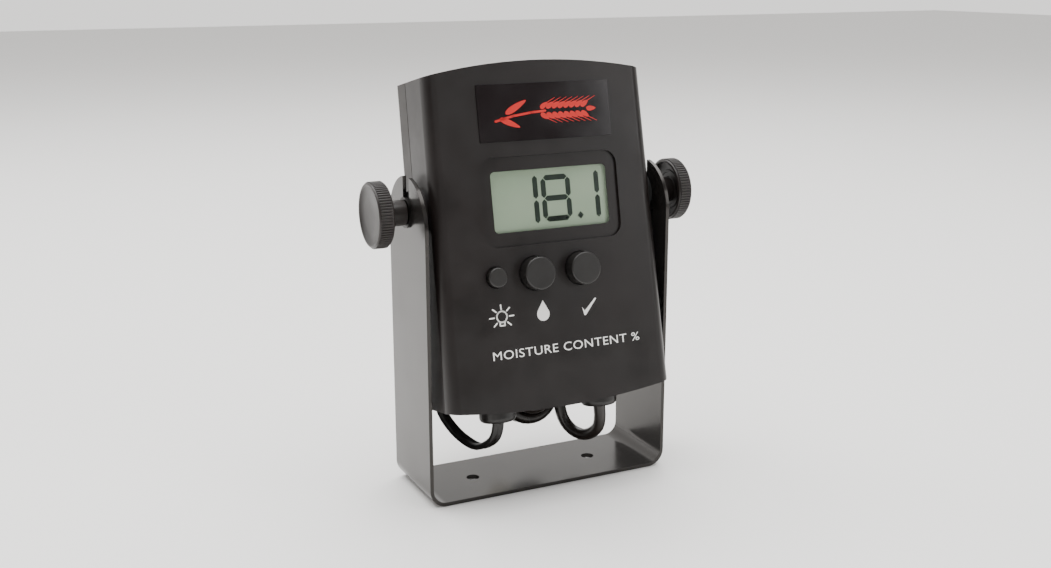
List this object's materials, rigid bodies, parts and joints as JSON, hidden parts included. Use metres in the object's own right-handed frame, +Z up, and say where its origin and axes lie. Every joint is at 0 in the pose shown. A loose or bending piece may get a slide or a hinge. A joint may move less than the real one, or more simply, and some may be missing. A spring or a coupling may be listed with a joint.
{
  "type": "moisture meter display unit",
  "caption": "Black two-shell moisture meter display with sunk LCD and push buttons, tilting in a steel U bracket with knurled clamp knobs, cords folded behind it.",
  "frame": {"origin": "middle of the bracket's underside", "axes": "+Z up, display faces -Y and leans back, +X to the viewer's right"},
  "size_m": [0.1372, 0.0699, 0.1719],
  "materials": {
    "bracket": "satin",
    "shell": "satin",
    "rubber": "matte",
    "label": "gloss",
    "lens": "clear",
    "lcd": "satin",
    "frame_plastic": "matte",
    "contact_rubber": "matte",
    "backlight": "satin",
    "board": "satin",
    "components": "matte",
    "switch": "matte",
    "plunger": "matte",
    "button": "satin",
    "screw": "zinc plated",
    "brass": "satin",
    "knob": "satin",
    "terminal": "satin",
    "gland": "satin",
    "cord": "satin PVC",
    "plug_metal": "nickel plated",
    "tie": "nylon"
  },
  "bodies": {
    "light_key": {"light_button": "button", "light_plunger": "plunger"},
    "moisture_key": {"moisture_button": "button", "moisture_plunger": "plunger"},
    "check_key": {"check_button": "button", "check_plunger": "plunger"},
    "left_washer": {"left_flat_washer": "screw"},
    "right_washer": {"right_flat_washer": "screw"},
    "left_clamp": {"left_knob": "knob", "left_stud": "screw"},
    "right_clamp": {"right_knob": "knob", "right_stud": "screw"},
    "bracket": {"bracket": "bracket"},
    "friction_pair": {"left_friction_washer": "rubber", "right_friction_washer": "rubber"},
    "housing": {"front_shell": "shell", "rear_shell": "shell", "case_seal": "rubber", "label_plate": "label", "lens_gasket": "rubber", "display_lens": "lens", "lcd_glass": "lcd", "lcd_frame": "frame_plastic", "zebra_strips": "contact_rubber", "backlight_panel": "backlight", "circuit_board": "board", "board_parts": "components", "tact_switches": "switch", "board_screws": "screw", "case_screws": "screw", "left_insert": "brass", "right_insert": "brass", "power_terminal": "terminal", "sensor_terminal": "terminal", "power_gland": "gland", "sensor_gland": "gland", "power_cord": "cord", "sensor_cord": "cord", "power_hank": "cord", "sensor_hank": "cord", "power_plug": "gland", "sensor_plug": "plug_metal", "tie_mount": "tie", "cable_tie": "tie"}
  },
  "joints": [
    {"name": "lift_out", "type": "slide", "parent": "bracket", "child": "friction_pair", "axis": [0, 0, 1], "range_m": [0, 0.03]},
    {"name": "tilt", "type": "hinge", "parent": "friction_pair", "child": "housing", "pos_m": [0, 0, 0.1155], "axis": [1, 0, 0], "range_deg": [-50, 50]},
    {"name": "left_back_off", "type": "slide", "parent": "housing", "child": "left_washer", "axis": [-1, 0, 0], "range_m": [0, 0.0016]},
    {"name": "right_back_off", "type": "slide", "parent": "housing", "child": "right_washer", "axis": [1, 0, 0], "range_m": [0, 0.0016]},
    {"name": "left_knob_turn", "type": "hinge", "parent": "left_washer", "child": "left_clamp", "pos_m": [0, 0, 0.1155], "axis": [-1, 0, 0], "range_deg": [0, 720]},
    {"name": "right_knob_turn", "type": "hinge", "parent": "right_washer", "child": "right_clamp", "pos_m": [0, 0, 0.1155], "axis": [1, 0, 0], "range_deg": [0, 720]},
    {"name": "light_press", "type": "slide", "parent": "housing", "child": "light_key", "axis": [0, 0.9799, -0.1994], "range_m": [0, 0.0008], "stiffness_N_per_m": 1500},
    {"name": "moisture_press", "type": "slide", "parent": "housing", "child": "moisture_key", "axis": [0, 0.9799, -0.1994], "range_m": [0, 0.0008], "stiffness_N_per_m": 1500},
    {"name": "check_press", "type": "slide", "parent": "housing", "child": "check_key", "axis": [0, 0.9799, -0.1994], "range_m": [0, 0.0008], "stiffness_N_per_m": 1500}
  ],
  "couplings": [
    {"joint": "left_knob_turn", "follows": "left_back_off", "rad_per_m": 7854},
    {"joint": "right_knob_turn", "follows": "right_back_off", "rad_per_m": 7854}
  ]
}
